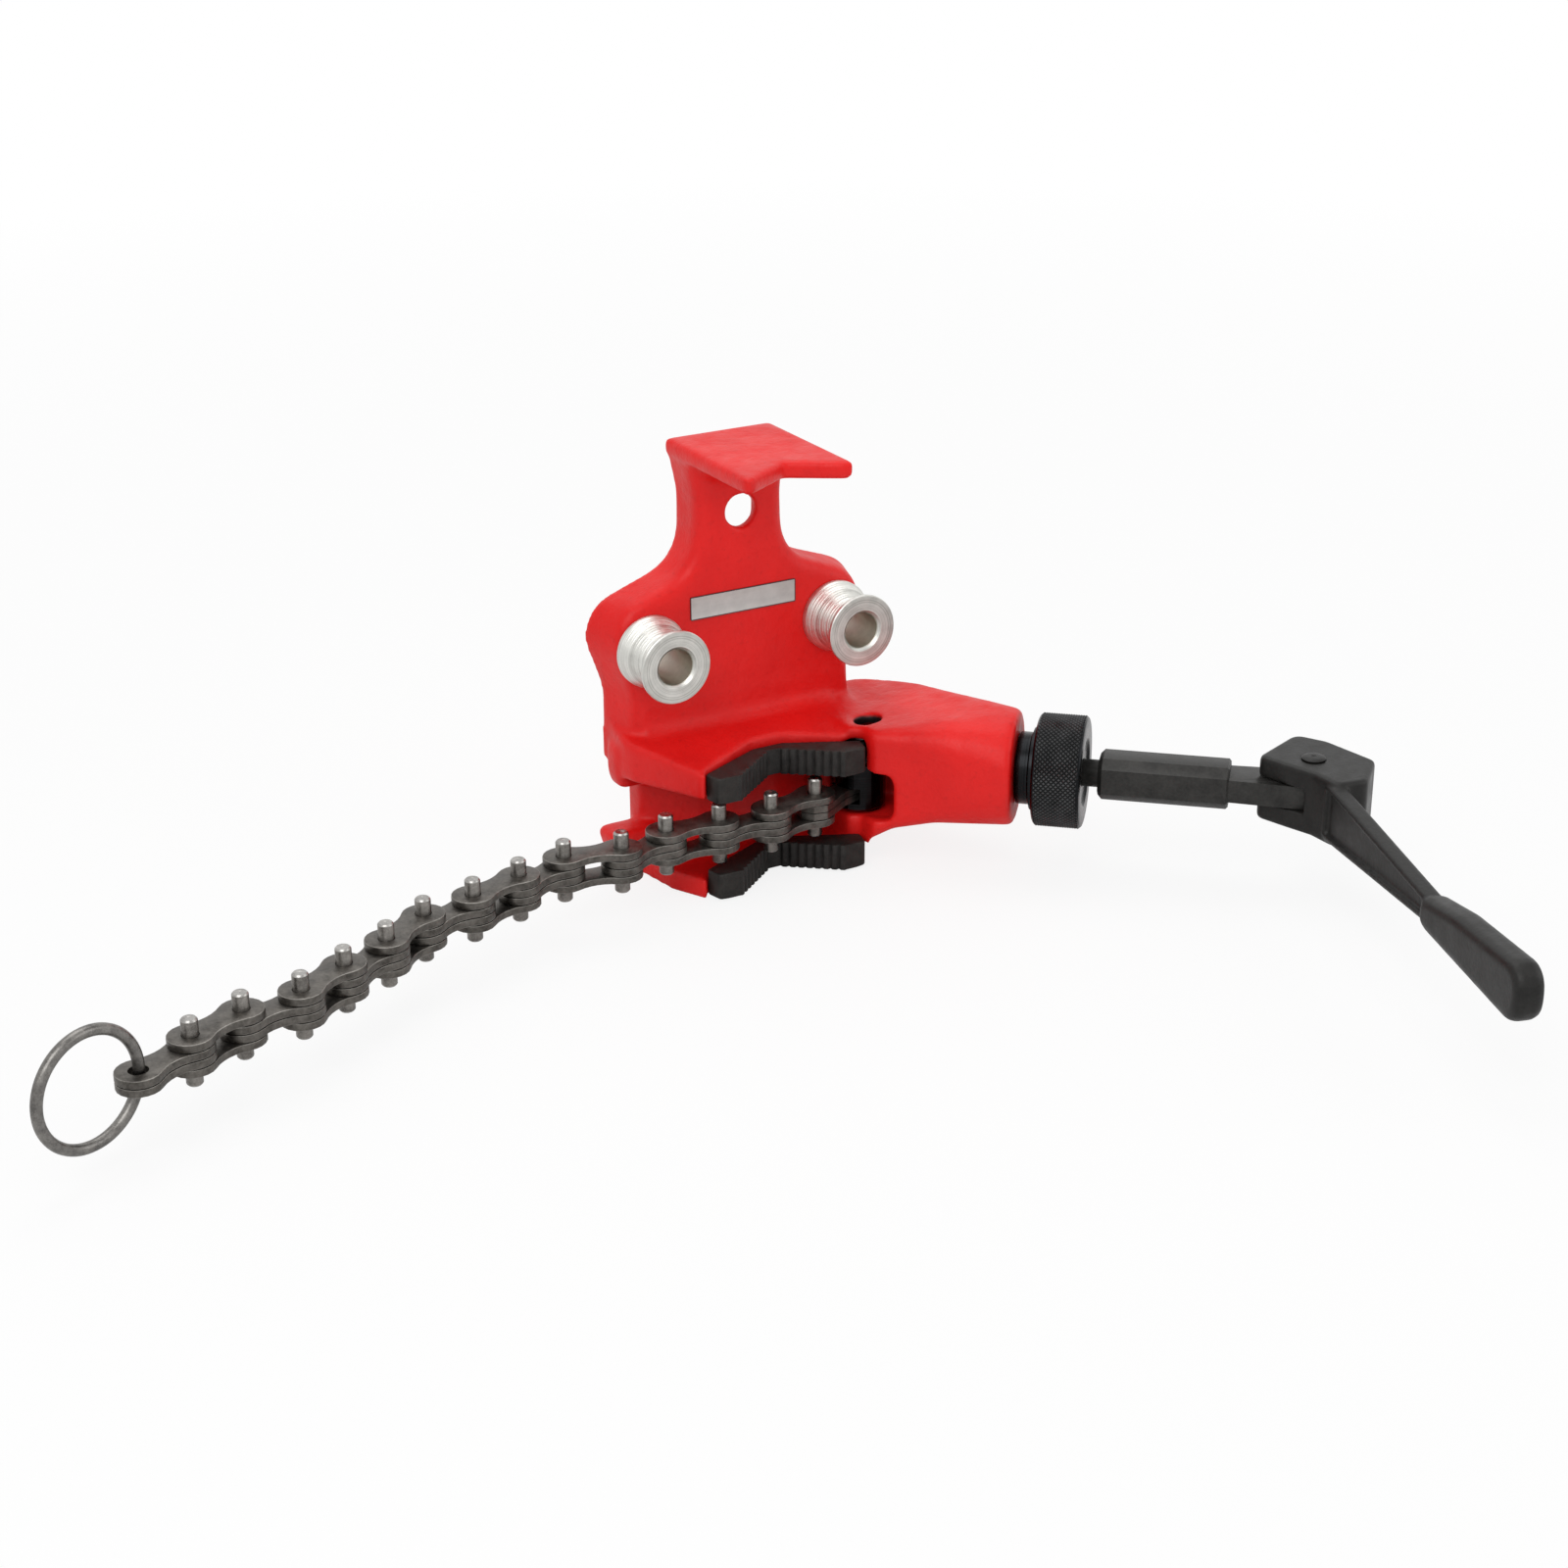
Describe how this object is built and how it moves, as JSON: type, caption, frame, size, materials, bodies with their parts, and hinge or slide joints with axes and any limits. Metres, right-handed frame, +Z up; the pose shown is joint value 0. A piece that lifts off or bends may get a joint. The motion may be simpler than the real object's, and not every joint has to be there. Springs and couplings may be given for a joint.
{
  "type": "chain pipe vise",
  "caption": "Bench chain pipe vise: cast body with toothed V jaws and bobbins, a hook chain with a pull ring, and a draw screw with a knurled wheel and folding lever.",
  "frame": {"origin": "on the flat bottom of the casting, in the middle plane of the jaws and at the front face of the mounting plate", "axes": "+Z up along a clamped pipe, +Y to the back of the mounting plate, +X to the side of the draw screw"},
  "size_m": [0.5023, 0.3301, 0.1667],
  "materials": {
    "pin_steel": "ground steel, lightly oiled",
    "chain_steel": "dark oiled steel plates",
    "red_paint": "glossy red powder coat with a fine orange peel",
    "black_oxide": "black oxide on hardened steel",
    "forged_black": "satin black casting",
    "blued_steel": "blue-black oxide",
    "zinc": "turned, bright zinc plated",
    "ring_wire": "dark drawn wire"
  },
  "bodies": {
    "body": {"body_casting": "red_paint", "upper_jaw": "black_oxide", "lower_jaw": "black_oxide", "upper_jaw_screw": "blued_steel", "lower_jaw_screw": "blued_steel", "left_bobbin": "zinc", "right_bobbin": "zinc"},
    "draw": {"draw_block": "black_oxide", "anchor_pin": "pin_steel"},
    "spindle": {"draw_screw": "pin_steel", "knurled_knob": "blued_steel", "drive_bar": "forged_black"},
    "lever": {"lever": "forged_black", "lever_pin": "forged_black"},
    "anchor_link": {"anchor_plate_top": "chain_steel", "anchor_plate_bottom": "chain_steel"},
    "outer_link_1": {"outer_link_1_top": "chain_steel", "outer_link_1_bottom": "chain_steel", "chain_pin_01": "pin_steel", "chain_pin_02": "pin_steel"},
    "inner_link_1": {"inner_link_1_top": "chain_steel", "inner_link_1_bottom": "chain_steel"},
    "outer_link_2": {"outer_link_2_top": "chain_steel", "outer_link_2_bottom": "chain_steel", "chain_pin_03": "pin_steel", "chain_pin_04": "pin_steel"},
    "inner_link_2": {"inner_link_2_top": "chain_steel", "inner_link_2_bottom": "chain_steel"},
    "outer_link_3": {"outer_link_3_top": "chain_steel", "outer_link_3_bottom": "chain_steel", "chain_pin_05": "pin_steel", "chain_pin_06": "pin_steel"},
    "inner_link_3": {"inner_link_3_top": "chain_steel", "inner_link_3_bottom": "chain_steel"},
    "outer_link_4": {"outer_link_4_top": "chain_steel", "outer_link_4_bottom": "chain_steel", "chain_pin_07": "pin_steel", "chain_pin_08": "pin_steel"},
    "inner_link_4": {"inner_link_4_top": "chain_steel", "inner_link_4_bottom": "chain_steel"},
    "outer_link_5": {"outer_link_5_top": "chain_steel", "outer_link_5_bottom": "chain_steel", "chain_pin_09": "pin_steel", "chain_pin_10": "pin_steel"},
    "inner_link_5": {"inner_link_5_top": "chain_steel", "inner_link_5_bottom": "chain_steel"},
    "outer_link_6": {"outer_link_6_top": "chain_steel", "outer_link_6_bottom": "chain_steel", "chain_pin_11": "pin_steel", "chain_pin_12": "pin_steel"},
    "inner_link_6": {"inner_link_6_top": "chain_steel", "inner_link_6_bottom": "chain_steel"},
    "outer_link_7": {"outer_link_7_top": "chain_steel", "outer_link_7_bottom": "chain_steel", "chain_pin_13": "pin_steel", "chain_pin_14": "pin_steel"},
    "inner_link_7": {"inner_link_7_top": "chain_steel", "inner_link_7_bottom": "chain_steel"},
    "ring": {"pull_ring": "ring_wire"}
  },
  "joints": [
    {"name": "spindle_turn", "type": "hinge", "parent": "body", "child": "spindle", "pos_m": [0.0418, -0.0249, 0.0402], "axis": [-0.7431, 0.6691, 0], "range_deg": [0, 1440]},
    {"name": "draw_slide", "type": "slide", "parent": "body", "child": "draw", "axis": [0.7431, -0.6691, 0], "range_m": [0, 0.012]},
    {"name": "lever_fold", "type": "hinge", "parent": "spindle", "child": "lever", "pos_m": [0.16776, -0.13832, 0.0402], "axis": [0, 0, 1], "range_deg": [-21, 68]},
    {"name": "anchor_link_hinge", "type": "hinge", "parent": "draw", "child": "anchor_link", "pos_m": [0.03868, -0.02209, 0.0265], "axis": [0, 0, 1], "range_deg": [-10, 10]},
    {"name": "outer_link_1_hinge", "type": "hinge", "parent": "anchor_link", "child": "outer_link_1", "pos_m": [0.01427, -0.02981, 0.0265], "axis": [0, 0, -1], "range_deg": [-60, 18]},
    {"name": "inner_link_1_hinge", "type": "hinge", "parent": "outer_link_1", "child": "inner_link_1", "pos_m": [-0.0074, -0.0339, 0.0265], "axis": [0, 0, 1], "range_deg": [-28, 60]},
    {"name": "outer_link_2_hinge", "type": "hinge", "parent": "inner_link_1", "child": "outer_link_2", "pos_m": [-0.02944, -0.03329, 0.0265], "axis": [0, 0, -1], "range_deg": [-60, 35]},
    {"name": "inner_link_2_hinge", "type": "hinge", "parent": "outer_link_2", "child": "inner_link_2", "pos_m": [-0.05147, -0.03248, 0.0265], "axis": [0, 0, 1], "range_deg": [-50, 60]},
    {"name": "outer_link_3_hinge", "type": "hinge", "parent": "inner_link_2", "child": "outer_link_3", "pos_m": [-0.07278, -0.03815, 0.0265], "axis": [0, 0, -1], "range_deg": [-60, 60]},
    {"name": "inner_link_3_hinge", "type": "hinge", "parent": "outer_link_3", "child": "inner_link_3", "pos_m": [-0.09453, -0.03455, 0.0265], "axis": [0, 0, 1], "range_deg": [-60, 60]},
    {"name": "outer_link_4_hinge", "type": "hinge", "parent": "inner_link_3", "child": "outer_link_4", "pos_m": [-0.11553, -0.04129, 0.0265], "axis": [0, 0, -1], "range_deg": [-60, 60]},
    {"name": "inner_link_4_hinge", "type": "hinge", "parent": "outer_link_4", "child": "inner_link_4", "pos_m": [-0.13643, -0.04832, 0.0265], "axis": [0, 0, 1], "range_deg": [-60, 60]},
    {"name": "outer_link_5_hinge", "type": "hinge", "parent": "inner_link_4", "child": "outer_link_5", "pos_m": [-0.15772, -0.05407, 0.0265], "axis": [0, 0, -1], "range_deg": [-60, 60]},
    {"name": "inner_link_5_hinge", "type": "hinge", "parent": "outer_link_5", "child": "inner_link_5", "pos_m": [-0.17625, -0.06601, 0.0265], "axis": [0, 0, 1], "range_deg": [-60, 60]},
    {"name": "outer_link_6_hinge", "type": "hinge", "parent": "inner_link_5", "child": "outer_link_6", "pos_m": [-0.1957, -0.0764, 0.0265], "axis": [0, 0, -1], "range_deg": [-60, 60]},
    {"name": "inner_link_6_hinge", "type": "hinge", "parent": "outer_link_6", "child": "inner_link_6", "pos_m": [-0.21491, -0.08722, 0.0265], "axis": [0, 0, 1], "range_deg": [-60, 60]},
    {"name": "outer_link_7_hinge", "type": "hinge", "parent": "inner_link_6", "child": "outer_link_7", "pos_m": [-0.23668, -0.09075, 0.0265], "axis": [0, 0, -1], "range_deg": [-60, 60]},
    {"name": "inner_link_7_hinge", "type": "hinge", "parent": "outer_link_7", "child": "inner_link_7", "pos_m": [-0.25679, -0.09978, 0.0265], "axis": [0, 0, 1], "range_deg": [-60, 60]},
    {"name": "ring_hinge", "type": "hinge", "parent": "inner_link_7", "child": "ring", "pos_m": [-0.2769, -0.10882, 0.0265], "axis": [0, 0, 1], "range_deg": [-60, 60]}
  ],
  "couplings": [
    {"joint": "draw_slide", "follows": "spindle_turn", "m_per_rad": 0.00047746}
  ]
}
